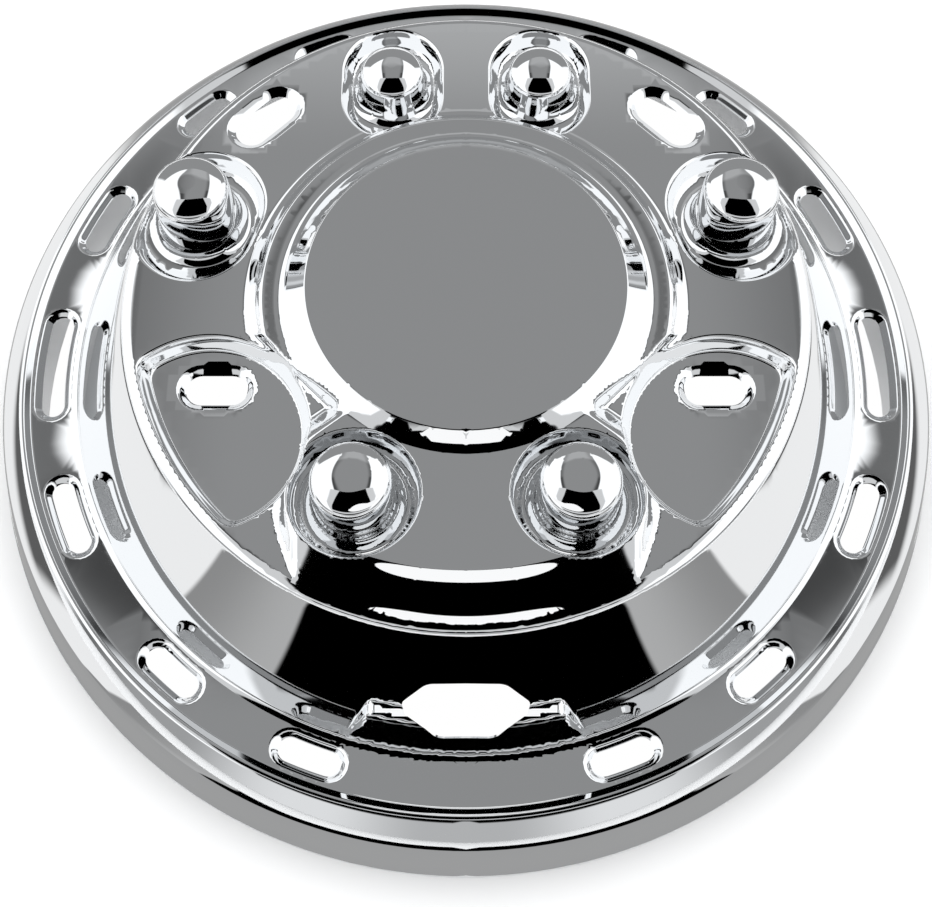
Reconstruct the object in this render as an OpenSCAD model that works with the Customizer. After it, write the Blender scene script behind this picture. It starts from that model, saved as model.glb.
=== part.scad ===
// Wheel simulator for a dual-wheel truck: one pressed sheet of polished stainless steel.
// It lies face up on its skirt, with its axis along Z and the near hand hole at -Y.

/* [Sheet and rim] */
// Thickness of the sheet
sheet_t = 0.8; // [0.6:0.1:1.2]
// How far the skirt flares outward on its way down
skirt_flare = 8.5; // [6:0.5:12]
// Height of the crest of the rim
rim_h = 41.5; // [37:0.5:46]
// Radius of the bevel between skirt and crest, which bulges slightly
bevel_round = 58; // [45:1:70]
// Slope of the bevel at its foot
bevel_foot = 58; // [54:1:62]
// Slope of the bevel where it turns into the crest
bevel_top = 42; // [36:1:46]
// Radius of the crest
crest_round = 2; // [1.5:0.25:3]
// How far the crest turns down towards the ring, as an angle
crest_turn = 50; // [40:1:60]
// How far the flat ring lies below the crest
ring_drop = 2; // [1.5:0.25:3]
// Width of the step from the crest down to the ring
ring_step = 3.5; // [3:0.25:4.5]
// Distance from the foot of the cone out to the crest
ring_w = 24.3; // [23:0.1:27]
// Radius of the hollow fillet at the foot of the cone
foot_fillet = 4; // [2:0.5:5]
// Run of the cone, from its foot in to the edge of the face
cone_run = 35.5; // [32:0.5:40]

/* [Face] */
// Height of the face above the ring
face_rise = 65.5; // [60:0.5:72]
// Width of the face between the hub and the cone
face_w = 52; // [50:0.5:58]
// Radius of the rounding along the edge of the face
face_round = 6; // [4:0.5:8]

/* [Hub] */
// Height of the cap above the face
cap_rise = 12; // [9:0.5:15]
// Diameter of the flat cap
cap_d = 128; // [122:1:134]
// Width of the rounding round the cap
cap_edge = 1; // [0.5:0.25:1.5]
// Distance from the edge of the cap out to the middle of the groove round it
groove_out = 11; // [8:0.5:13]
// Width of the bottom of the groove
groove_w = 2; // [1:0.25:3]
// Height of the groove above the face
groove_rise = 3; // [1.5:0.25:3.5]
// Distance from the groove out to the roll
roll_out = 8; // [6:0.5:10]
// Height of the roll above the face
roll_rise = 5; // [4:0.25:6]
// Distance from the roll out to where the hub meets the face
hub_out = 5; // [4:0.5:7]

/* [Near land] */
// Height of the near land above the face
land_rise = 7; // [6:0.25:8]
// Distance from the edge of the face in to where the land begins to fall
land_in = 22.5; // [20:0.5:26]
// Radius of the rounding there
land_round = 16; // [10:1:20]
// Slope of the land beyond it
land_slope = 26; // [22:1:32]
// Width of the land beside the pockets of the near covers
land_margin = 3; // [2:0.25:4]
// How far inside the edge of the hub its flanks meet the land
neck_in = 14.5; // [12:0.5:16]
// Angle of those corners from the near side
neck_turn = 45; // [43:0.5:47]
// Distance along Y from there to where the land is at its full width
neck_run = 14; // [10:0.5:18]
// Distance from the axis, along Y, at which the straight flanks of the hub begin
flank_y = 15; // [13:0.5:18]

/* [Nut covers] */
// Distance of the far covers from the edge of the hub
far_out = 21.8; // [20:0.1:24]
// Their angle from the far side
far_turn = 17; // [16:0.25:19]
// Distance of the side covers from the edge of the hub
side_out = 30.2; // [28:0.1:32]
// Their angle from the far side
side_turn = 71.25; // [69:0.25:73]
// Distance of the near covers from the edge of the hub
near_out = 9.9; // [9:0.1:12]
// Their angle from the near side
near_turn = 26; // [25:0.25:28]
// Width of the sunk pockets of the near and side covers
pocket_w = 48; // [46:0.25:50]
// Length of the pockets of the side covers
side_pocket_l = 59; // [52:0.5:62]
// Width of the pockets of the far covers
far_pocket_w = 40; // [38:0.25:43]
// Length of the pockets of the far covers
far_pocket_l = 54; // [50:0.5:56]
// Strip of the face that is left between a far pocket and the hub
pocket_gap = 1; // [0.5:0.25:2]
// Depth of the pockets below the face
pocket_deep = 7; // [5:0.25:9]
// Diameter of the near and side covers where the rounding of the top begins
cover_d = 31; // [29:0.5:33]
// Height of the near and side covers above the floor of the pocket
cover_h = 32; // [26:0.5:36]
// Diameter of the far covers where the rounding of the top begins
far_cover_d = 27; // [25:0.5:29]
// Height of the far covers above the floor of the pocket
far_cover_h = 20; // [17:0.5:26]
// How much further out the side of a cover is at its foot than at its top
cover_taper = 1; // [0.5:0.25:2]
// Radius of the rounding round the top of a cover
cover_round = 9; // [6:0.5:11]
// Radius of the hollow fillet round the foot of a cover
cover_fillet = 4; // [2:0.25:5]

/* [Basins] */
// Distance of the centres of the basins from the edge of the hub
basin_out = 31.2; // [29:0.1:33]
// Their angle from the near side
basin_turn = 59.8; // [58:0.1:62]
// Radius of each basin
basin_r = 40; // [38:0.5:42]
// Depth of the basin floor below the face
basin_deep = 8; // [5:0.25:10]
// Distance from the edge of the face in to the outer wall of a basin
basin_margin = 6; // [5:0.25:8]

/* [Slots in the face and basins] */
// How far the lip round a slot is pressed down
lip_deep = 2; // [1.5:0.25:3]
// Width of the lip round a slot
lip_w = 4; // [3:0.25:4.25]
// Length of the holes in the far face
face_slot_l = 30; // [26:0.5:31]
// Width of the holes in the far face
face_slot_w = 14; // [12:0.5:15]
// Distance of their centres in from the edge of the face
face_slot_in = 17; // [16:0.5:20]
// Angle of their centres from the far side
face_slot_a = 45; // [44:0.5:46]
// Length of the hole in each basin
basin_slot_l = 25; // [22:0.5:28]
// Width of the hole in each basin
basin_slot_w = 13; // [11:0.5:14]
// How much nearer to the YZ plane than the basin that hole lies
basin_slot_in = 2; // [0:0.5:4]
// How far beyond the centre of the basin it lies, along Y
basin_slot_back = 22; // [20:0.5:24]

/* [Slots in the ring] */
// Distance from the foot of the cone out to the middle of the ring slots
ring_slot_out = 11.5; // [11:0.25:12]
// Width of the holes in the ring
ring_slot_w = 10; // [8:0.5:10.5]
// Width of the lip round them
ring_lip_w = 2.5; // [2:0.25:2.75]
// Length of the short holes
short_slot_l = 27; // [22:0.5:30]
// Length of the third pair from the near side
middle_slot_l = 34; // [30:0.5:38]
// Length of the long pair at the sides
long_slot_l = 50; // [44:0.5:54]

/* [Hand hole] */
// Height of the flat top of the hood above the ring
hood_rise = 24.5; // [22:0.5:28]
// Half width of the hood at its foot
hood_foot_half = 50; // [47:0.5:53]
// Half width of its flat top
hood_top_half = 38.5; // [36:0.5:41]
// How far inside the foot of the cone its front begins
hood_in = 0.5; // [0.25:0.25:2]
// How far its front leans back on the way up
hood_lean = 7; // [5:0.5:9]
// Half width of the hand hole
hand_half = 26.5; // [24:0.5:28]
// Half width of its top edge
hand_top_half = 15; // [12:0.5:17]
// Half width of its bottom edge
hand_foot_half = 11; // [8:0.5:13]
// How far its widest point lies above the crease between hood and cone, along the cone
hand_rise = 2; // [0.5:0.25:3]
// Distance from there up to its top edge
hand_up = 14; // [11:0.5:15]
// Distance from there down to its bottom edge
hand_down = 15.5; // [13:0.5:17]

/* [Hidden] */

$fn = 96;
arc_steps = 5;
over = 2;
half_turn = 180;
quarter_turn = 90;
cap_r = cap_d / 2;
groove_r = cap_r + groove_out;
roll_r = groove_r + roll_out;
hub_r = roll_r + hub_out;
face_r = hub_r + face_w;
foot_r = face_r + cone_run;
crest_r = foot_r + ring_w;
bevel_r = crest_r - (bevel_round - crest_round) * sin(bevel_top);
skirt_r = bevel_r + bevel_round * sin(bevel_foot) + skirt_flare;
ring_h = rim_h - ring_drop;
bevel_h = rim_h - crest_round - (bevel_round - crest_round) * cos(bevel_top);
face_h = ring_h + face_rise;
cap_h = face_h + cap_rise;
land_h = face_h + land_rise;
pocket_h = face_h - pocket_deep;
basin_h = face_h - basin_deep;
hood_h = ring_h + hood_rise;
cone_angle = atan2(face_rise, cone_run);
foot_run = foot_fillet * tan(cone_angle / 2);
edge_run = face_round * tan(cone_angle / 2);
tall = 2 * face_h;
wide = 2 * skirt_r;
land_r = face_r - land_in;
face_slot_r = face_r - face_slot_in;
ring_slot_r = foot_r + ring_slot_out;
far_place = (hub_r + far_out) * [sin(far_turn), cos(far_turn)];
side_place = (hub_r + side_out) * [sin(side_turn), cos(side_turn)];
near_place = (hub_r + near_out) * [sin(near_turn), -cos(near_turn)];
basin_place = (hub_r + basin_out) * [sin(basin_turn), -cos(basin_turn)];
basin_slot_place = basin_place + [-basin_slot_in, basin_slot_back];
neck = (hub_r - neck_in) * [sin(neck_turn), cos(neck_turn)];
land_half = near_place[0] + pocket_w / 2 + land_margin;
// Angle of each ring slot from the near side, and the length of its hole
ring_slots = [
    [20, short_slot_l], [41, short_slot_l], [67, middle_slot_l], [90, long_slot_l],
    [114, middle_slot_l], [137, short_slot_l], [158, short_slot_l]
];

// Points along an arc, from angle a to angle b
function arc(r, x, y, a, b) =
    [for (i = [0:arc_steps]) let (t = a + (b - a) * i / arc_steps) [x + r * cos(t), y + r * sin(t)]];

// A path without its first and last point
function between_ends(path) = [for (i = [1:len(path) - 2]) path[i]];

// Unit vector square to the step from p to q, on its right
function right_of(p, q) = let (d = q - p) [d[1], -d[0]] / norm(d);

// A path moved to its left by o
function inside(path, o) = [
    for (i = [0:len(path) - 1])
        let (
            before = right_of(path[max(i - 1, 0)], path[max(i, 1)]),
            after = i == len(path) - 1 ? before : right_of(path[i], path[i + 1])
        ) path[i] - (before + after) * o / (1 + before * after)
];

// Upper surface of the pressing, from the bottom edge of the skirt to the axis,
// with the metal on the left of the path
outline = concat(
    [[skirt_r, 0]],
    arc(bevel_round, bevel_r, bevel_h, quarter_turn - bevel_foot, quarter_turn - bevel_top),
    between_ends(arc(crest_round, crest_r, rim_h - crest_round,
        quarter_turn - bevel_top, quarter_turn + crest_turn)),
    [[crest_r - ring_step, ring_h]],
    arc(foot_fillet, foot_r + foot_run, ring_h + foot_fillet, -quarter_turn, -quarter_turn - cone_angle),
    arc(face_round, face_r - edge_run, face_h - face_round, quarter_turn - cone_angle, quarter_turn),
    [
        [hub_r, face_h],
        [roll_r, face_h + roll_rise],
        [groove_r + groove_w / 2, face_h + groove_rise],
        [groove_r - groove_w / 2, face_h + groove_rise],
        [cap_r + cap_edge, cap_h - cap_edge],
        [cap_r - cap_edge, cap_h],
        [0, cap_h]
    ]
);

// The same for a nut cover of diameter d and height h
function cover_outline(d, h) = concat(
    arc(cover_fillet, d / 2 + cover_taper + cover_fillet, cover_fillet, -quarter_turn, -half_turn),
    arc(cover_round, d / 2 - cover_round, h - cover_round, 0, quarter_turn),
    [[0, h]]
);

land_foot_r = land_r + land_round * sin(land_slope)
    + (land_rise + over - land_round * (1 - cos(land_slope))) / tan(land_slope);
land_outline = concat(
    [[land_foot_r, face_h - over]],
    arc(land_round, land_r, land_h - land_round, quarter_turn - land_slope, quarter_turn),
    [[0, land_h]]
);
land_plan = [
    [-neck[0], -neck[1]], [-land_half, -neck[1] - neck_run], [-land_half, -face_r],
    [land_half, -face_r], [land_half, -neck[1] - neck_run], [neck[0], -neck[1]]
];
hood_outline = [
    [hood_foot_half, ring_h - over], [hood_top_half, hood_h],
    [-hood_top_half, hood_h], [-hood_foot_half, ring_h - over]
];
hood_front = [
    [foot_r - hood_in, ring_h - over], [foot_r - hood_in - hood_lean, hood_h + over], [0, hood_h + over]
];
hand_outline = [
    [-hand_half, 0], [-hand_top_half, hand_up], [hand_top_half, hand_up],
    [hand_half, 0], [hand_foot_half, -hand_down], [-hand_foot_half, -hand_down]
];
flank_x = sqrt(pow(hub_r + over, 2) - pow(flank_y, 2));

// Does the same on both sides of the YZ plane
module both_sides() {
    children();
    mirror([1, 0, 0]) children();
}

// A solid of revolution under a path that ends on the axis, reaching down to base
module turned(path, base) {
    rotate_extrude() polygon(concat(path, [[0, base], [path[0][0], base]]));
}

// A shape drawn in X and Z, run along Y on the near side
module along_near(points) {
    rotate([quarter_turn, 0, 0]) linear_extrude(wide) polygon(points);
}

// Straight slot with round ends, l long and w wide overall
module slot(l, w) {
    square([l - w, w], center = true);
    for (x = [-1, 1]) translate([x * (l - w) / 2, 0]) circle(d = w);
}

// Slot that follows the ring, at angle a from the near side
module ring_slot(a, l, w) {
    half = (l - w) / 2 / ring_slot_r * half_turn / PI;
    tip = ring_slot_r * [cos(half), sin(half)];
    rotate(a - quarter_turn)
        polygon(concat(
            arc(ring_slot_r + w / 2, 0, 0, -half, half),
            between_ends(arc(w / 2, tip[0], tip[1], half, half + half_turn)),
            arc(ring_slot_r - w / 2, 0, 0, half, -half),
            between_ends(arc(w / 2, tip[0], -tip[1], half_turn - half, 2 * half_turn - half))
        ));
}

// Every slot, grown by g all round, cut from depth d below its own surface up to h above it
module slots(g, ring_g, d, h) {
    both_sides() {
        for (s = ring_slots)
            translate([0, 0, ring_h - d]) linear_extrude(d + h)
                ring_slot(s[0], s[1] + 2 * ring_g, ring_slot_w + 2 * ring_g);
        rotate(-face_slot_a) translate([0, face_slot_r, face_h - d]) linear_extrude(d + h)
            slot(face_slot_l + 2 * g, face_slot_w + 2 * g);
        translate([basin_slot_place[0], basin_slot_place[1], basin_h - d]) linear_extrude(d + h)
            slot(basin_slot_l + 2 * g, basin_slot_w + 2 * g);
    }
}

// Raised land that carries the two near covers
module land(o) {
    intersection() {
        turned(inside(land_outline, o), face_h - 2 * over);
        linear_extrude(tall) polygon(inside(land_plan, o));
    }
}

// What is cut from the hub outside its two straight flanks
module flanks(o) {
    both_sides()
        translate([0, 0, face_h - o]) linear_extrude(tall)
            polygon(inside([[wide, -flank_y], [flank_x, -flank_y], [neck[0], -neck[1]], [neck[0], -wide]], -o));
}

// Sunk pockets of the six covers. The far ones end beside the hub.
module pockets(o) {
    both_sides()
        translate([0, 0, pocket_h - o]) linear_extrude(tall) {
            translate(near_place) circle(d = pocket_w + 2 * o);
            translate(side_place) rotate(-side_turn) slot(side_pocket_l + 2 * o, pocket_w + 2 * o);
            difference() {
                translate(far_place) rotate(quarter_turn) slot(far_pocket_l + 2 * o, far_pocket_w + 2 * o);
                circle(hub_r + pocket_gap - o);
            }
        }
}

// One nut cover
module cover(place, d, h, o) {
    translate([place[0], place[1], pocket_h]) turned(inside(cover_outline(d, h), o), -2 * over);
}

// The six nut covers
module covers(o) {
    both_sides() {
        cover(near_place, cover_d, cover_h, o);
        cover(side_place, cover_d, cover_h, o);
        cover(far_place, far_cover_d, far_cover_h, o);
    }
}

// The two sunk basins, which keep inside the face edge
module basins(o) {
    both_sides()
        translate([0, 0, basin_h - o]) linear_extrude(tall)
            intersection() {
                translate(basin_place) circle(basin_r + o);
                circle(face_r - basin_margin + o);
            }
}

// The hood that stands out of the cone round the hand hole
module hood(o) {
    intersection() {
        along_near(inside(hood_outline, o));
        turned(inside(hood_front, o), ring_h - 2 * over);
    }
}

// The hand hole, cut square to the cone
module hand_hole() {
    crease_r = foot_r - hood_rise / tan(cone_angle);
    translate([0, -crease_r, hood_h]) rotate([cone_angle, 0, 0])
        translate([0, hand_rise, 0]) linear_extrude(wide, center = true) polygon(hand_outline);
}

// The pressed form, o below its upper surface
module pressed(o) {
    difference() {
        union() {
            difference() {
                turned(inside(outline, o), -over - o);
                flanks(o);
            }
            land(o);
            hood(o);
        }
        basins(o);
        pockets(o);
        slots(lip_w + o, ring_lip_w + o, lip_deep + o, tall);
    }
    covers(o);
}

module wheel_cover() {
    color("silver")
        difference() {
            pressed(0);
            pressed(sheet_t);
            slots(0, 0, tall, tall);
            hand_hole();
            translate([0, 0, -wide]) cylinder(r = wide, h = wide);
        }
}

wheel_cover();
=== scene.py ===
"""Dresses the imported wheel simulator: one sheet of polished steel, pressed from a flat blank,
and the studio it is photographed in. Millimetres are used while pressing, metres in Blender."""

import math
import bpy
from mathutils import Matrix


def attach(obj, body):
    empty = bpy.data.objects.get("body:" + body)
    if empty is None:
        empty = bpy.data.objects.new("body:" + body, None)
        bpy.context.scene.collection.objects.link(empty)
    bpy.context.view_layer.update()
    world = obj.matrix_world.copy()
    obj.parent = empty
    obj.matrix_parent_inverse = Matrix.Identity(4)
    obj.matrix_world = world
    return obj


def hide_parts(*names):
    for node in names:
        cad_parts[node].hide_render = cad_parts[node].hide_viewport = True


bl_info = {
    "name": "Wheel simulator",
    "version": (1, 0, 0),
    "blender": (4, 5, 0),
    "location": "3D Viewport > Sidebar > Wheel simulator",
    "description": "Polished steel wheel simulator for a dual-wheel truck, and its studio",
    "category": "Add Mesh",
}

import bmesh
import bpy
import numpy as np
from bpy.props import FloatProperty, FloatVectorProperty, PointerProperty
from mathutils import Vector
from mathutils.geometry import delaunay_2d_cdt

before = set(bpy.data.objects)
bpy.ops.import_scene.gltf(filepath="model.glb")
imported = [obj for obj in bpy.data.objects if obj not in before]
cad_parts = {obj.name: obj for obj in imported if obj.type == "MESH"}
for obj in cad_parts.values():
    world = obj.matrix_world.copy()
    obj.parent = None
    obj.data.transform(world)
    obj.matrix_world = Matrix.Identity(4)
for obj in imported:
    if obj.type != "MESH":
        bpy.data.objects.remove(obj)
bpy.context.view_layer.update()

BODY = "root"
NODE = "wheel_cover"
MM = 0.001


def size(label, millimetres, description):
    """A length property with its default given in millimetres."""
    return FloatProperty(name=label, description=description, default=millimetres * MM,
                         min=0.0, precision=4, unit="LENGTH")


def colour(label, value, description):
    """A colour property."""
    return FloatVectorProperty(name=label, description=description, default=value,
                               subtype="COLOR", size=3, min=0.0, max=1.0)


class RimSizes(bpy.types.PropertyGroup):
    """Sizes of the skirt, the rim, the ring and the cone."""
    sheet: size("Sheet", 0.8, "Thickness of the sheet")
    skirt_r: size("Skirt radius", 220, "Radius of the skirt's bottom edge")
    rim_h: size("Rim height", 41.5, "Height of the crest of the rim")
    bevel_round: size("Bevel radius", 128, "Radius of the bevel between skirt and crest")
    crest_r: size("Crest", 199.8, "Radius of the crest of the rim")
    crest_round: size("Crest rounding", 2, "Radius of the rounding of the crest")
    ring_r: size("Ring radius", 196.3, "Outer radius of the flat ring")
    ring_h: size("Ring height", 39.5, "Height of the flat ring")
    foot_r: size("Foot radius", 175.5, "Radius at which the ring meets the cone")
    face_r: size("Face radius", 140, "Radius of the edge between cone and face")
    face_h: size("Face height", 105, "Height of the face")


class FaceSizes(bpy.types.PropertyGroup):
    """Sizes of the hub, the near land, the covers and the basins."""
    cap_r: size("Cap radius", 64, "Radius of the flat cap")
    cap_rise: size("Cap rise", 12, "Height of the cap above the face")
    groove_r: size("Groove radius", 75, "Radius of the groove round the cap")
    groove_rise: size("Groove rise", 3, "Height of the groove above the face")
    band_r: size("Band radius", 83, "Radius of the roll outside the groove")
    band_rise: size("Band rise", 5, "Height of that roll above the face")
    hub_r: size("Hub radius", 88, "Radius at which the hub meets the face")
    land_rise: size("Land rise", 7, "Height of the near land above the face")
    land_r: size("Land radius", 117.5, "Radius at which the land begins to fall to the cone")
    pocket_r: size("Pocket radius", 24, "Half width of the pocket round a cover")
    pocket_deep: size("Pocket depth", 7, "Depth of the pockets below the face")
    cover_r: size("Cover radius", 15.5, "Radius of the near and side covers below their rounded top")
    cover_h: size("Cover height", 32, "Height of the near and side covers above their pocket")
    far_pocket_r: size("Far pocket", 20, "Half width of the pockets of the far covers")
    far_cover_r: size("Far cover radius", 13.5, "Radius of the far covers")
    far_cover_h: size("Far cover height", 20, "Height of the far covers above their pocket")
    basin_r: size("Basin radius", 40, "Radius of a basin")
    basin_deep: size("Basin depth", 8, "Depth of a basin below the face")


class Finish(bpy.types.PropertyGroup):
    """Colours of the steel and of the studio."""
    steel: colour("Steel", (0.86, 0.87, 0.88), "Reflectance of the polished steel")
    floor: colour("Floor", (0.9, 0.9, 0.9), "Pale floor")
    light: colour("Light", (0.98, 0.99, 1.0), "Colour of the studio's light")


# The blank: a flat sheet with every bend line scribed on it


def path_arc(x, y, r, a, b, steps):
    """Points along an arc, angles in degrees."""
    return [(x + r * math.cos(math.radians(t)), y + r * math.sin(math.radians(t)))
            for t in np.linspace(a, b, steps + 1)]


def rounded(corners, steps=5):
    """A path through corners (x, y, radius), each corner replaced by an arc of its radius."""
    path = []
    for i, (x, y, radius) in enumerate(corners):
        if radius == 0 or i in (0, len(corners) - 1):
            path.append((x, y))
            continue
        here = Vector((x, y))
        back = (Vector(corners[i - 1][:2]) - here).normalized()
        ahead = (Vector(corners[i + 1][:2]) - here).normalized()
        half = back.angle(ahead) / 2
        run = radius / math.tan(half)
        centre = here + (back + ahead).normalized() * (radius / math.sin(half))
        start, end = here + back * run, here + ahead * run
        turn = (start - centre).angle_signed(end - centre)
        for step in range(steps + 1):
            arm = (start - centre).copy()
            t = turn * step / steps
            arm = Vector((arm.x * math.cos(t) + arm.y * math.sin(t),
                          -arm.x * math.sin(t) + arm.y * math.cos(t)))
            path.append(tuple(centre + arm))
    return path


def smooth(t):
    """0 below 0, 1 above 1, and a soft S between."""
    t = np.clip(t, 0.0, 1.0)
    return t * t * (3 - 2 * t)


def higher(a, b, k):
    """The higher of two surfaces, blended where they are within k of each other."""
    t = np.clip(0.5 + (a - b) / (2 * k), 0.0, 1.0)
    return b + (a - b) * t + k * t * (1 - t)


def lower(a, b, k):
    """The lower of two surfaces, blended the same way."""
    return -higher(-a, -b, k)


def to_stadium(x, y, centre, turn, long, wide):
    """Distance to the edge of a straight slot with round ends."""
    c, s = math.cos(math.radians(turn)), math.sin(math.radians(turn))
    u = (x - centre[0]) * c + (y - centre[1]) * s
    v = -(x - centre[0]) * s + (y - centre[1]) * c
    return np.hypot(np.maximum(abs(u) - (long - wide) / 2, 0), v) - wide / 2


def stadium(centre, turn, long, wide, grow, ends=14):
    """Outline of such a slot, grown by grow all round."""
    r, run = wide / 2 + grow, (long - wide) / 2
    flat = [point for side, a in ((1, -90), (-1, 90))
            for point in path_arc(side * run, 0, r, a, a + 180, ends)]
    c, s = math.cos(math.radians(turn)), math.sin(math.radians(turn))
    return [(centre[0] + x * c - y * s, centre[1] + x * s + y * c) for x, y in flat]


def to_ring_slot(x, y, r, turn, long, wide):
    """Distance to the edge of a slot that follows the ring."""
    angle = np.degrees(np.arctan2(y, x)) - turn
    half = math.degrees((long - wide) / 2 / r)
    off = np.radians(np.clip(angle, -half, half) + turn)
    return np.hypot(x - r * np.cos(off), y - r * np.sin(off)) - wide / 2


def ring_slot(r, turn, long, wide, grow, ends=12):
    """Outline of such a slot, grown by grow all round."""
    half = math.degrees((long - wide) / 2 / r)
    h = wide / 2 + grow
    sides = max(3, round(long / 3))
    tip = [(r * math.cos(math.radians(turn + s * half)), r * math.sin(math.radians(turn + s * half)))
           for s in (1, -1)]
    return (path_arc(0, 0, r + h, turn - half, turn + half, sides)[:-1]
            + path_arc(*tip[0], h, turn + half, turn + half + 180, ends)[:-1]
            + path_arc(0, 0, r - h, turn + half, turn - half, sides)[:-1]
            + path_arc(*tip[1], h, turn - half + 180, turn - half + 360, ends)[:-1])


RING_SLOTS = [(20, 27), (41, 27), (67, 34), (90, 50), (114, 34), (137, 27), (158, 27)]
RING_SLOT_R, RING_SLOT_W = 187.0, 10.0
NEAR, SIDE, FAR = (42.9, -88.0), (111.9, 38.0), (32.1, 105.0)
SIDE_TURN, SIDE_LONG, FAR_LONG = -71.25, 59.0, 54.0
BASIN = (103.0, -60.0)
BASIN_EDGE = 134.0
FACE_SLOT = ((87.0, 87.0), -45.0, 30.0, 14.0)
BASIN_SLOT = ((101.0, -38.0), 0.0, 25.0, 13.0)
FLANK_START, NECK = (88.7, -15.0), (52.0, -52.0)
LAND_HALF, NECK_RUN = 70.0, 14.0
HOOD_H, HOOD_FOOT, HOOD_TOP = 64.0, 50.0, 38.5
HOOD_FRONT_FOOT, HOOD_FRONT_TOP = 175.0, 168.0
HAND = [(-26.5, 0, 4), (-15, 14, 7), (15, 14, 7), (26.5, 0, 4), (11, -15.5, 6), (-11, -15.5, 6)]
HAND_RISE = 2.0
LIP_STEPS = (0.3, 0.7, 1.2, 1.8, 2.4, 3.0, 3.8)
LIP_DEEP = 3.0
FACE_LIP_DEEP = 3.2
EDGE_IN, EDGE_UP = 0.06, 0.23
BEVEL_FOOT, BEVEL_TOP = 50, 43
CONE_R, HUB_AREA_R, LAND_AREA_R = 145, 100, 143
LAND_FALL, LAND_SIDE = 9.0, 14.0
WALL_RUN = 5.0
NEAR_DOME, SIDE_DOME, FAR_DOME = 3.0, 3.8, 4.2

# Where the sheet gets its points: circles, levels beside an edge, and grids (x0, x1, y0, y1)
RIM_SEGMENTS, HUB_SEGMENTS, COVER_SEGMENTS = 240, 180, 80
RIM_CIRCLES = (146, 150, 155, 160, 165, 170, 214, 217)
HUB_CIRCLES = (*np.arange(93, 84, -0.8), 79, 77.6, 63, 61.5)
LAND_CIRCLES = np.arange(135.5, 128, -0.9)
POCKET_LEVELS = (-2.4, -1.8, -1.2, -0.6, 0, 0.6, 1.2, 1.8, 2.6)
POCKET_AREA = 34
BASIN_LEVELS, BASIN_AREA = (-2.5, -1.7, -0.9, 0, 0.9, 1.7, 2.5), (60, 146, -102, -16)
LAND_LEVELS, LAND_AREA = (-7, -5.5, -4, -2.5, -1, 0.5, 2, 3.5, 5), (45, 84, -135, -40)
FLANK_LEVELS, FLANK_AREA = (-4, -2.6, -1.6, -0.8, 0, 0.8), (46, 92, -60, -8)
GRIDS = (((0.8, 56, -178, -146), 1.4), ((46, 92, -70, -10), 1.5),
         ((0.8, 76, -140, -110), 2.0), ((0.8, 140, -140, 140), 4.0))
SEAM_END, SEAM_STEP = 222, 1.2
SEAM_HALF = 0.02
POINT_GAP = 0.58

# The camera and the cards, in metres and degrees
CAMERA_AIM_Y, CAMERA_AWAY, CAMERA_RISE = -0.0279, 0.6285, 68.3
SENSOR, FOCAL_PIXELS, FRAME_PIXELS = 36, 1325, 932
BAR_CENTRE, BAR_LONG, BAR_WIDE, BAR_HEIGHT, BAR_GLOW = (0, -0.135), 0.096, 0.042, 0.172, 1.1
CARD_SEGMENTS = 96


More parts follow.
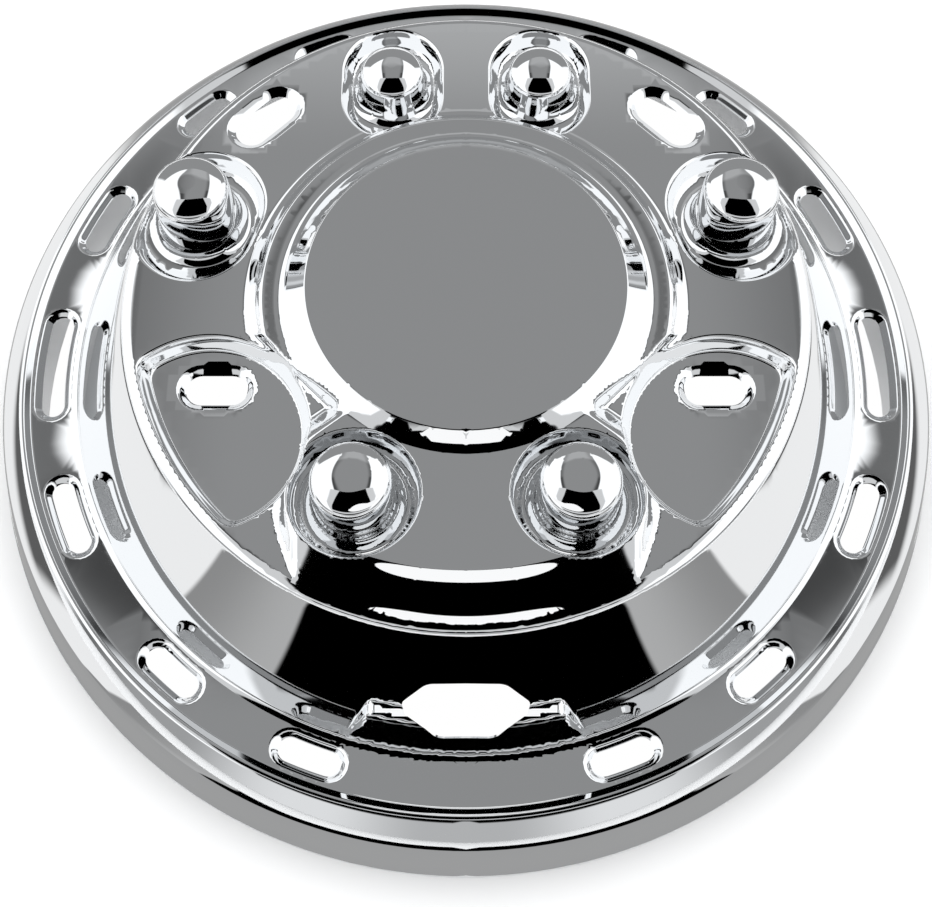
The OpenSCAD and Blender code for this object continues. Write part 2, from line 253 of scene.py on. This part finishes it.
class Press:
    """Heights of the upper surface over the blank, from the sizes of the part."""

    def __init__(self, rim, face):
        for group in (rim, face):
            for key in group.bl_rna.properties.keys():
                if key not in ("rna_type", "name"):
                    setattr(self, key, getattr(group, key) / MM)
        self.cone_angle = math.atan2(self.face_h - self.ring_h, self.foot_r - self.face_r)
        self.pocket_h = self.face_h - self.pocket_deep
        self.basin_h = self.face_h - self.basin_deep
        self.land_h = self.face_h + self.land_rise
        arm, top = self.bevel_round - self.crest_round, math.radians(BEVEL_TOP)
        crest_h = self.rim_h - self.crest_round
        bevel_r = self.crest_r - arm * math.sin(top)
        bevel_h = crest_h - arm * math.cos(top)
        flat = rounded([
            (self.crest_r - 1.4, self.rim_h - 0.6, 0), (self.ring_r, self.ring_h, 1.8),
            (self.foot_r, self.ring_h, 4), (self.face_r, self.face_h, 6), (0, self.face_h, 0)], 7)
        self.rim_path = (
            [(self.skirt_r - EDGE_IN, EDGE_UP)]
            + path_arc(bevel_r, bevel_h, self.bevel_round, 90 - BEVEL_FOOT, 90 - BEVEL_TOP, 7)
            + path_arc(self.crest_r, crest_h, self.crest_round, 90 - BEVEL_TOP, 128, 7)[1:] + flat[1:])
        base = self.face_h
        self.hub_path = rounded([
            (self.hub_r + 4, base - 4, 0), (self.band_r, base + self.band_rise, 2.2),
            (self.groove_r, base + self.groove_rise, 6), (self.cap_r + 0.8, base + self.cap_rise, 1.1),
            (0, base + self.cap_rise, 0)], 6)
        self.land_path = rounded([
            (self.face_r + 2.5, self.face_h - 9, 0), (self.face_r - 0.5, self.face_h - 2, 0),
            (self.land_r + 3.6, self.land_h, 16), (0, self.land_h, 0)], 8)
        self.covers = [
            (NEAR, self.cover_path(self.cover_r, self.cover_h, NEAR_DOME),
             lambda x, y: np.hypot(x - NEAR[0], y - NEAR[1]) - self.pocket_r),
            (SIDE, self.cover_path(self.cover_r, self.cover_h, SIDE_DOME),
             lambda x, y: to_stadium(x, y, SIDE, SIDE_TURN, SIDE_LONG, 2 * self.pocket_r)),
            (FAR, self.cover_path(self.far_cover_r, self.far_cover_h, FAR_DOME),
             lambda x, y: higher(to_stadium(x, y, FAR, 90, FAR_LONG, 2 * self.far_pocket_r),
                                 self.hub_r + 1 - np.hypot(x, y), 1.5))]

    @staticmethod
    def cover_path(r, h, dome):
        """Section of a nut cover: domed top, slightly tapered side and hollow foot."""
        top = (0.5 * r, h, 1.3 * r)
        return rounded([(r + 9, 0, 0), (r + 1.2, 0, 7), (r, h - dome, 5), top, (0, h, 0)], 8)

    @staticmethod
    def along(path, r):
        """Height of a turned path at radius r."""
        radii, heights = zip(*sorted(path))
        return np.interp(r, radii, heights)

    def flank_off(self, x, y):
        """Distance outside the straight flanks of the hub."""
        (ax, ay), (bx, by) = FLANK_START, NECK
        run = math.hypot(bx - ax, by - ay)
        off = ((x - ax) * (ay - by) - (y - ay) * (ax - bx)) / run
        return lower(off, x - NECK[0], 1.5)

    def hub(self, x, y):
        """The turned hub, with its two straight flanks."""
        turned = self.along(self.hub_path, np.hypot(x, y))
        return lower(turned, self.face_h + 0.6 - 2.4 * self.flank_off(x, y), 1.2)

    def hood(self, x, y, r):
        """The hood round the hand hole."""
        front = HOOD_H + (HOOD_FRONT_TOP - r) * (HOOD_H - self.ring_h) / (HOOD_FRONT_FOOT - HOOD_FRONT_TOP)
        side = HOOD_H + (HOOD_TOP - x) * (HOOD_H - self.ring_h) / (HOOD_FOOT - HOOD_TOP)
        return np.where(y < 0, lower(lower(front, HOOD_H, 5.0), side, 4.0), 0)

    def basin_off(self, x, y):
        """Distance outside the edge of a basin."""
        off = np.hypot(x - BASIN[0], y - BASIN[1]) - self.basin_r
        return higher(off, np.hypot(x, y) - BASIN_EDGE, 4.0)

    def land_off(self, x, y):
        """Distance outside the plan of the near land."""
        slant = math.hypot(LAND_HALF - NECK[0], NECK_RUN)
        edge = ((x - NECK[0]) * NECK_RUN + (y - NECK[1]) * (LAND_HALF - NECK[0])) / slant
        return higher(edge, x - LAND_HALF, 6.0)

    def height(self, x, y):
        """Height of the upper surface at x, y, in millimetres."""
        x, y = abs(np.asarray(x, float)), np.asarray(y, float)
        r = np.hypot(x, y)
        z = self.along(self.rim_path, r)
        z = np.where((y < 0) & (r > CONE_R), higher(z, self.hood(x, y, r), 2.0), z)
        land = self.along(self.land_path, r) - LAND_FALL * smooth(self.land_off(x, y) / LAND_SIDE + 0.5)
        z = np.where(r < LAND_AREA_R, higher(z, land, 1.5), z)
        z = np.where(r < HUB_AREA_R, higher(z, self.hub(x, y), 3.0), z)
        z = z + (np.minimum(self.basin_h, z) - z) * smooth(0.5 - self.basin_off(x, y) / WALL_RUN)
        for (cx, cy), path, off in self.covers:
            z = z + (np.minimum(self.pocket_h, z) - z) * smooth(0.45 - off(x, y) / WALL_RUN)
            far = np.hypot(x - cx, y - cy)
            z = np.where(far < path[0][0], higher(z, self.pocket_h - 0.4 + self.along(path, far), 0.4), z)
        for turn, long in RING_SLOTS:
            off = to_ring_slot(x, y, RING_SLOT_R, turn - 90, long, RING_SLOT_W)
            z = z - LIP_DEEP * (1 - smooth((off + 1.0) / 4.4))
        for slot in (FACE_SLOT, BASIN_SLOT):
            z = z - FACE_LIP_DEEP * (1 - smooth((to_stadium(x, y, *slot) + 1.0) / 5.0))
        return z

    def normals(self, x, y, step=0.03):
        """Unit normals of the upper surface, so that a mirror finish shows no facets."""
        slope_x = (self.height(x + step, y) - self.height(x - step, y)) / (2 * step)
        slope_y = (self.height(x, y + step) - self.height(x, y - step)) / (2 * step)
        normals = np.stack([-slope_x, -slope_y, np.ones_like(slope_x)], axis=1)
        return normals / np.linalg.norm(normals, axis=1, keepdims=True)

    def plain(self, x, y):
        """Whether the sheet is simply turned at x, y, with nothing pressed into it."""
        r = np.hypot(x, y)
        past_flanks = (self.flank_off(x, y) < -6) | (r > 96)
        past_land = (abs(x) > 84) | (y > -45) | (r > 138) | (r < 60)
        past_hood = (abs(x) > 58) | (y > 0) | (r < 146) | (r > 181)
        plain = (self.basin_off(x, y) > 4) & past_flanks & past_land & past_hood
        for _, _, off in self.covers:
            plain &= off(x, y) > 4
        for turn, long in RING_SLOTS:
            plain &= to_ring_slot(x, y, RING_SLOT_R, turn - 90, long, RING_SLOT_W) > 4.2
        for slot in (FACE_SLOT, BASIN_SLOT):
            plain &= to_stadium(x, y, *slot) > 4.8
        return plain

    def hand_path(self):
        """The hand hole's outline on the blank: it is cut square to the cone."""
        e = math.pi / 2 - self.cone_angle
        crease_r = self.foot_r - (HOOD_H - self.ring_h) / math.tan(self.cone_angle)
        middle = ((HAND[-1][0] + HAND[0][0]) / 2, HAND[-1][1] / 2, 0)
        path = []
        for x, s in rounded([middle] + HAND + [middle], 5)[:-1]:
            aim = -crease_r * math.sin(e) + HOOD_H * math.cos(e) + HAND_RISE + s
            low, high = -185.0, -135.0
            for _ in range(40):
                y = (low + high) / 2
                if y * math.sin(e) + float(self.height(x, y)) * math.cos(e) < aim:
                    low = y
                else:
                    high = y
            path.append((x, y))
        return path


class Blank:
    """Half of the flat sheet, with the bend lines that its mesh has to follow."""

    def __init__(self):
        self.points, self.edges, self.loose = [], [], []

    def scribe(self, path, closed=True):
        """Adds a bend line."""
        start = len(self.points)
        self.points += path
        last = len(self.points) - 1
        self.edges += [(i, i + 1) for i in range(start, last)]
        if closed:
            self.edges.append((last, start))

    def circle(self, r, segments, plain):
        """Adds half a circle about the middle: a bend line where the sheet is plain, else loose points."""
        path = path_arc(0, 0, r, -90, 90, segments // 2)
        free = plain(*np.array(path).T)
        run = []
        for point, is_free in zip(path, free):
            if is_free:
                run.append(point)
                continue
            self.loose.append(point)
            if len(run) > 1:
                self.scribe(run, closed=False)
            run = []
        if len(run) > 1:
            self.scribe(run, closed=False)

    def contours(self, field, levels, area, step=1.0):
        """Adds points along the lines on which a field has the given values."""
        x0, x1, y0, y1 = area
        xs, ys = np.meshgrid(np.arange(x0, x1, step), np.arange(y0, y1, step))
        xs, ys = xs.ravel(), ys.ravel()
        value = field(xs, ys)
        for level in levels:
            near = abs(value - level) < step
            px, py = xs[near], ys[near]
            for _ in range(3):
                v = field(px, py)
                gx = (field(px + 0.05, py) - v) / 0.05
                gy = (field(px, py + 0.05) - v) / 0.05
                pull = (level - v) / np.maximum(gx * gx + gy * gy, 0.05)
                px, py = px + gx * pull, py + gy * pull
            self.loose += [p for p in zip(px, py) if p[0] > 0.6]

    def grid(self, area, step):
        """Adds loose points on a grid over an area."""
        x0, x1, y0, y1 = area
        self.loose += [(x, y) for x in np.arange(x0, x1, step) for y in np.arange(y0, y1, step)]

    def settle(self, gap):
        """Keeps the loose points that are gap or more from the bend lines and from one another."""
        cell = {}
        for p in self.points:
            cell.setdefault((int(p[0] // gap), int(p[1] // gap)), []).append(p)
        for p in self.loose:
            i, j = int(p[0] // gap), int(p[1] // gap)
            close = (q for a in (i - 1, i, i + 1) for b in (j - 1, j, j + 1) for q in cell.get((a, b), ()))
            if all((p[0] - q[0]) ** 2 + (p[1] - q[1]) ** 2 > gap * gap for q in close):
                cell.setdefault((i, j), []).append(p)
                self.points.append(p)

    def triangles(self):
        """Points and triangles of the sheet."""
        result = delaunay_2d_cdt([Vector(p) for p in self.points], self.edges, [], 0, 0.02)
        return np.array([tuple(v) for v in result[0]]), result[2]


def inside_path(path, x, y):
    """Whether points lie inside a closed path."""
    inside = np.zeros(len(x), bool)
    for (ax, ay), (bx, by) in zip(path, path[1:] + path[:1]):
        if ay != by:
            inside ^= ((ay > y) != (by > y)) & (x < (bx - ax) * (y - ay) / (by - ay) + ax)
    return inside


def scribe_blank(press):
    """Scribes every bend line of the part and returns points, triangles and the hand hole."""
    blank = Blank()
    for r, _ in press.rim_path[:-1]:
        blank.circle(r, RIM_SEGMENTS, press.plain)
    for turn, long in RING_SLOTS:
        blank.scribe(ring_slot(RING_SLOT_R, turn - 90, long, RING_SLOT_W, 0))
    for slot in (FACE_SLOT, BASIN_SLOT):
        blank.scribe(stadium(*slot, 0))
    hand = press.hand_path()
    blank.scribe(hand)
    blank.scribe([(0, y) for y in np.arange(-SEAM_END, SEAM_END, SEAM_STEP)], closed=False)
    for r in (*HUB_CIRCLES, *(r for r, _ in press.hub_path[1:-1])):
        blank.circle(r, HUB_SEGMENTS, press.plain)
    for r in RIM_CIRCLES:
        blank.circle(r, RIM_SEGMENTS, press.plain)
    for r in (*(r for r, _ in press.land_path[2:-1]), *LAND_CIRCLES):
        blank.loose += path_arc(0, 0, r, -89.4, -50, 60)
    for (cx, cy), path, off in press.covers:
        for r, _ in path[1:-1]:
            blank.loose += path_arc(cx, cy, r, 0, 360, COVER_SEGMENTS)
        around = (cx - POCKET_AREA, cx + POCKET_AREA, cy - POCKET_AREA, cy + POCKET_AREA)
        blank.contours(off, POCKET_LEVELS, around)
    for turn, long in RING_SLOTS:
        for grow in LIP_STEPS:
            blank.loose += ring_slot(RING_SLOT_R, turn - 90, long, RING_SLOT_W, grow)
    for slot in (FACE_SLOT, BASIN_SLOT):
        for grow in LIP_STEPS:
            blank.loose += stadium(*slot, grow)
    blank.contours(press.basin_off, BASIN_LEVELS, BASIN_AREA)
    blank.contours(press.land_off, LAND_LEVELS, LAND_AREA)
    blank.contours(press.flank_off, FLANK_LEVELS, FLANK_AREA)
    for area, step in GRIDS:
        blank.grid(area, step)
    blank.settle(POINT_GAP)
    points, triangles = blank.triangles()
    return points, triangles, hand


def press_sheet(press):
    """The pressed upper surface as a bmesh, in metres."""
    points, triangles, hand = scribe_blank(press)
    tris = np.array(triangles)
    x, y = points[tris].mean(axis=1).T
    keep = (x > SEAM_HALF) & (np.hypot(x, y) < press.skirt_r) & ~inside_path(hand, x, y)
    for turn, long in RING_SLOTS:
        keep &= to_ring_slot(x, y, RING_SLOT_R, turn - 90, long, RING_SLOT_W) > 0
    for slot in (FACE_SLOT, BASIN_SLOT):
        keep &= to_stadium(x, y, *slot) > 0
    z = press.height(points[:, 0], points[:, 1])
    bm = bmesh.new()
    points[abs(points[:, 0]) < SEAM_HALF, 0] = 0
    verts = [bm.verts.new((px * MM, py * MM, pz * MM)) for (px, py), pz in zip(points, z)]
    for tri in tris[keep]:
        bm.faces.new([verts[i] for i in tri])
    bmesh.ops.delete(bm, geom=[v for v in bm.verts if not v.link_faces], context="VERTS")
    bmesh.ops.mirror(bm, geom=bm.verts[:] + bm.edges[:] + bm.faces[:], merge_dist=1e-5, axis="X")
    bmesh.ops.remove_doubles(bm, verts=bm.verts, dist=1e-6)
    bmesh.ops.recalc_face_normals(bm, faces=bm.faces)
    if sum(f.normal.z for f in bm.faces) < 0:
        bmesh.ops.reverse_faces(bm, faces=bm.faces)
    return bm


def steel_material(finish):
    """Mirror-polished stainless steel."""
    material = bpy.data.materials.new("polished_steel")
    material.use_nodes = True
    shader = material.node_tree.nodes["Principled BSDF"]
    shader.inputs["Base Color"].default_value = (*finish.steel, 1)
    shader.inputs["Metallic"].default_value = 1.0
    shader.inputs["Roughness"].default_value = 0.03
    return material


def sheet_normals(mesh, press):
    """Normals of every corner: exact ones on both sides of the sheet, flat ones on its cut edges."""
    co = np.empty(len(mesh.vertices) * 3)
    mesh.vertices.foreach_get("co", co)
    co = co.reshape(-1, 3) / MM
    corner = np.empty(len(mesh.loops), int)
    mesh.loops.foreach_get("vertex_index", corner)
    flat = np.empty(len(mesh.polygons) * 3)
    mesh.polygons.foreach_get("normal", flat)
    sizes = np.empty(len(mesh.polygons), int)
    mesh.polygons.foreach_get("loop_total", sizes)
    flat = np.repeat(flat.reshape(-1, 3), sizes, axis=0)
    exact = press.normals(co[corner, 0], co[corner, 1])
    side = np.where(flat[:, 2] < 0, -1.0, 1.0)
    cut_edge = (np.repeat(sizes, sizes) == 4)[:, None]
    return np.where(cut_edge, flat, exact * side[:, None])


class Field:
    """A number that varies with direction, kept as a shader socket."""

    def __init__(self, tree, socket):
        self.tree, self.socket = tree, socket

    def node(self, operation, *others):
        """A Math node between this number and others."""
        node = self.tree.nodes.new("ShaderNodeMath")
        node.operation = operation
        for slot, value in zip(node.inputs, (self, *others)):
            if isinstance(value, Field):
                self.tree.links.new(value.socket, slot)
            else:
                slot.default_value = value
        return Field(self.tree, node.outputs[0])

    def __add__(self, other):
        return self.node("ADD", other)

    def __sub__(self, other):
        return self.node("SUBTRACT", other)

    def __mul__(self, other):
        return self.node("MULTIPLY", other)

    def __truediv__(self, other):
        return self.node("DIVIDE", other)

    def rise(self, low, high):
        """0 below low, 1 above high, soft between."""
        node = self.tree.nodes.new("ShaderNodeMapRange")
        node.interpolation_type = "SMOOTHSTEP"
        self.tree.links.new(self.socket, node.inputs["Value"])
        node.inputs["From Min"].default_value = low
        node.inputs["From Max"].default_value = high
        return Field(self.tree, node.outputs["Result"])

    def blend(self, other, this):
        """The other value where this mask is 0, and this one where it is 1."""
        node = self.tree.nodes.new("ShaderNodeMix")
        for slot, value in (("Factor", self), ("A", other), ("B", this)):
            if isinstance(value, Field):
                self.tree.links.new(value.socket, node.inputs[slot])
            else:
                node.inputs[slot].default_value = value
        return Field(self.tree, node.outputs["Result"])

    def between(self, low, high, soft):
        """1 from low to high, with soft ends."""
        return self.rise(low - soft, low + soft) * (self.rise(high - soft, high + soft) * -1 + 1)


def below(value, soft):
    """1 where a number is below 0, with a soft edge."""
    return value.rise(-soft, soft) * -1 + 1


def hang_light(scene, finish):
    """Soft light from all round, with a grey cloth overhead and a dark room on the near side."""
    world = bpy.data.worlds.new("studio")
    world.use_nodes = True
    tree = world.node_tree
    place = tree.nodes.new("ShaderNodeTexCoord")
    split = tree.nodes.new("ShaderNodeSeparateXYZ")
    tree.links.new(place.outputs["Generated"], split.inputs[0])
    x, y, z = (Field(tree, split.outputs[i]) for i in range(3))
    wide, along = x.node("ABSOLUTE"), y / z.node("MAXIMUM", 0.02)
    spread = wide / z.node("MAXIMUM", 0.02)
    near = 0.095
    dark = below(wide + y * 0.66 - z * 0.30, 0.01) * below(along - near, 0.008)
    dark = dark * (along.between(-2.6, -1.45, 0.1) * -1 + 1)
    dim = below(wide + y * 0.66 - z * 0.55, 0.03) * below(along - near, 0.008)
    cloth = spread.between(-1, 0.365, 0.025) * along.between(near, 1.35, 0.008) * z.rise(0, 0.02)
    beyond = below(wide - y * 1.1, 0.05) * along.rise(1.2, 1.3)
    shade = spread.rise(0.18, 0.33) * -0.13 + 0.295 + along.rise(0.68, 0.85) * 0.16
    shade = shade + spread.rise(0.22, 0.29) * below(along - 0.36, 0.03) * -0.1
    azimuth = wide / (y * -1).node("MAXIMUM", 0.001)
    horizon = azimuth.rise(0.1, 0.45) * 0.33 + 0.5
    horizon = horizon + azimuth.rise(0.55, 1.2) * -0.45 + azimuth.rise(1.6, 3.0) * -0.2
    low = below(z - 0.19, 0.02)
    light = cloth.blend(beyond.blend(1.25, 0.3), shade)
    light = dark.blend(dim.blend(light, 0.7), 0.0)
    light = low.blend(light, y.rise(-0.3, -0.1).blend(horizon, beyond.blend(1.2, 0.3)))
    tree.links.new(light.socket, tree.nodes["Background"].inputs["Strength"])
    tree.nodes["Background"].inputs["Color"].default_value = (*finish.light, 1)
    scene.world = world


def lay_floor(scene, finish):
    """The pale floor, and a soft lamp over it that the steel doesn't show."""
    bm = bmesh.new()
    bmesh.ops.create_circle(bm, cap_ends=True, segments=96, radius=4.0)
    shade = bpy.data.materials.new("pale_floor")
    shade.use_nodes = True
    shader = shade.node_tree.nodes["Principled BSDF"]
    shader.inputs["Base Color"].default_value = (*finish.floor, 1)
    shader.inputs["Roughness"].default_value = 0.9
    shader.inputs["Specular IOR Level"].default_value = 0.1
    stage_piece(scene, bm, "floor", shade)
    lamp = bpy.data.lights.new("fill", "AREA")
    lamp.shape, lamp.size, lamp.energy = "DISK", 3.0, 60.0
    holder = bpy.data.objects.new("fill", lamp)
    holder.location = (0, 0.6, 2.5)
    holder.rotation_euler = (math.radians(-13), 0, 0)
    holder.visible_glossy = False
    scene.collection.objects.link(holder)


def glowing(name, strength):
    """A material that only glows, with a strength that may vary with place."""
    shade = bpy.data.materials.new(name)
    shade.use_nodes = True
    tree = shade.node_tree
    shader = tree.nodes["Principled BSDF"]
    shader.inputs["Base Color"].default_value = (0, 0, 0, 1)
    shader.inputs["Specular IOR Level"].default_value = 0.0
    shader.inputs["Emission Color"].default_value = (1, 1, 1, 1)
    place = tree.nodes.new("ShaderNodeTexCoord")
    split = tree.nodes.new("ShaderNodeSeparateXYZ")
    tree.links.new(place.outputs["Object"], split.inputs[0])
    value = strength(Field(tree, split.outputs[0]), Field(tree, split.outputs[1]))
    if isinstance(value, Field):
        tree.links.new(value.socket, shader.inputs["Emission Strength"])
    else:
        shader.inputs["Emission Strength"].default_value = value
    return shade


def painted_floor_reflection(x, y):
    """Painted reflection of the floor and room, glowing on the near card, with painted shade: grey close
    to the part; further out dark straight in front, grey beside that, then white.
    """
    turn = x.node("ABSOLUTE").node("ARCTAN2", y * -1)
    out = (x * x + y * y).node("SQRT")
    grey = turn.rise(0.6, 0.93) * -0.17 + 0.46
    far_side = (out.rise(0.31, 0.36) * turn.rise(1.2, 1.3) * below(turn - 1.8, 0.1)).blend(0.95, 0.12)
    far_side = turn.rise(2.2, 2.35).blend(far_side, 0.35)
    around = turn.rise(0.58, 0.6).blend(0.0, turn.rise(0.93, 0.95).blend(grey, far_side))
    return out.rise(0.246, 0.25).blend(turn.rise(1.0, 1.6) * 0.1 + 0.37, around)


def show_card(scene, bm, name, strength):
    """A card that is only seen in the steel; the panel under the part is seen through its holes too."""
    card = stage_piece(scene, bm, name, glowing(name, strength))
    card.visible_camera = name == "light_panel"
    card.visible_diffuse = card.visible_shadow = False


def stand_cards(scene):
    """Cards on the near side that only the steel sees, and a light panel under the part."""
    # The near card's glow is a painted reflection of the floor and the dark room, with painted shade close
    # to the part.
    sheets = {"near_card": (0.2205, 0.6, 0.001, painted_floor_reflection),
              "light_panel": (0.002, 0.2, 0.0005, lambda x, y: 1.0)}
    for name, (inner, outer, height, strength) in sheets.items():
        bm = bmesh.new()
        turned = path_arc(0, 0, 1, 0, 360, CARD_SEGMENTS)[:-1]
        rings = [[bm.verts.new((r * x, r * y, height)) for x, y in turned] for r in (inner, outer)]
        for i in range(CARD_SEGMENTS):
            bm.faces.new([rings[0][i - 1], rings[1][i - 1], rings[1][i], rings[0][i]])
        show_card(scene, bm, name, strength)
    bm = bmesh.new()
    corners = stadium(BAR_CENTRE, 0, BAR_LONG, BAR_WIDE, 0)
    bm.faces.new([bm.verts.new((x, y, BAR_HEIGHT)) for x, y in corners])
    show_card(scene, bm, "light_bar", lambda x, y: BAR_GLOW)


def stage_piece(scene, bm, name, shade):
    """An object of the studio that isn't part of the product."""
    mesh = bpy.data.meshes.new(name)
    bm.to_mesh(mesh)
    bm.free()
    mesh.materials.append(shade)
    piece = bpy.data.objects.new(name, mesh)
    scene.collection.objects.link(piece)
    return piece


def place_camera(scene):
    """The camera of the photograph."""
    camera = bpy.data.cameras.new("camera")
    camera.sensor_width = SENSOR
    camera.lens = SENSOR * FOCAL_PIXELS / FRAME_PIXELS
    holder = bpy.data.objects.new("camera", camera)
    scene.collection.objects.link(holder)
    elevation = math.radians(CAMERA_RISE)
    back, up = CAMERA_AWAY * math.cos(elevation), CAMERA_AWAY * math.sin(elevation)
    holder.location = (0, CAMERA_AIM_Y - back, up)
    holder.rotation_euler = (math.pi / 2 - elevation, 0, 0)
    scene.camera = holder


class COVER_OT_sheet(bpy.types.Operator):
    """Presses the cover out of a flat blank and gives it its thickness"""
    bl_idname = "cover.sheet"
    bl_label = "Pressed sheet"

    def execute(self, context):
        scene = context.scene
        press = Press(scene.cover_rim, scene.cover_face)
        bm = press_sheet(press)
        bmesh.ops.solidify(bm, geom=bm.faces[:], thickness=press.sheet * MM)
        mesh = bpy.data.meshes.new("pressed_sheet")
        for face in bm.faces:
            face.smooth = True
        for edge in bm.edges:
            edge.smooth = sum(len(face.verts) == 4 for face in edge.link_faces) == 0
        bm.to_mesh(mesh)
        bm.free()
        mesh.normals_split_custom_set(sheet_normals(mesh, press))
        sheet = bpy.data.objects.new("pressed_sheet", mesh)
        scene.collection.objects.link(sheet)
        mesh.materials.append(steel_material(scene.cover_finish))
        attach(sheet, BODY)
        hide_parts(NODE)
        return {"FINISHED"}


class COVER_OT_stage(bpy.types.Operator):
    """Lays the pale floor and sets the soft light and the camera"""
    bl_idname = "cover.stage"
    bl_label = "Studio"

    def execute(self, context):
        scene = context.scene
        finish = scene.cover_finish
        lay_floor(scene, finish)
        stand_cards(scene)
        hang_light(scene, finish)
        place_camera(scene)
        scene.view_settings.view_transform = "Standard"
        return {"FINISHED"}


class COVER_PT_panel(bpy.types.Panel):
    """Lists the pieces of the wheel simulator"""
    bl_idname = "COVER_PT_panel"
    bl_label = "Wheel simulator"
    bl_space_type = "VIEW_3D"
    bl_region_type = "UI"
    bl_category = "Wheel simulator"

    def draw(self, context):
        for operator in (COVER_OT_sheet, COVER_OT_stage):
            self.layout.operator(operator.bl_idname)


CLASSES = (RimSizes, FaceSizes, Finish, COVER_OT_sheet, COVER_OT_stage, COVER_PT_panel)


def register():
    for cls in CLASSES:
        bpy.utils.register_class(cls)
    bpy.types.Scene.cover_rim = PointerProperty(type=RimSizes)
    bpy.types.Scene.cover_face = PointerProperty(type=FaceSizes)
    bpy.types.Scene.cover_finish = PointerProperty(type=Finish)


def unregister():
    del bpy.types.Scene.cover_finish
    del bpy.types.Scene.cover_face
    del bpy.types.Scene.cover_rim
    for cls in reversed(CLASSES):
        bpy.utils.unregister_class(cls)


def main():
    register()
    bpy.ops.cover.sheet()
    bpy.ops.cover.stage()


if __name__ == "__main__":
    main()
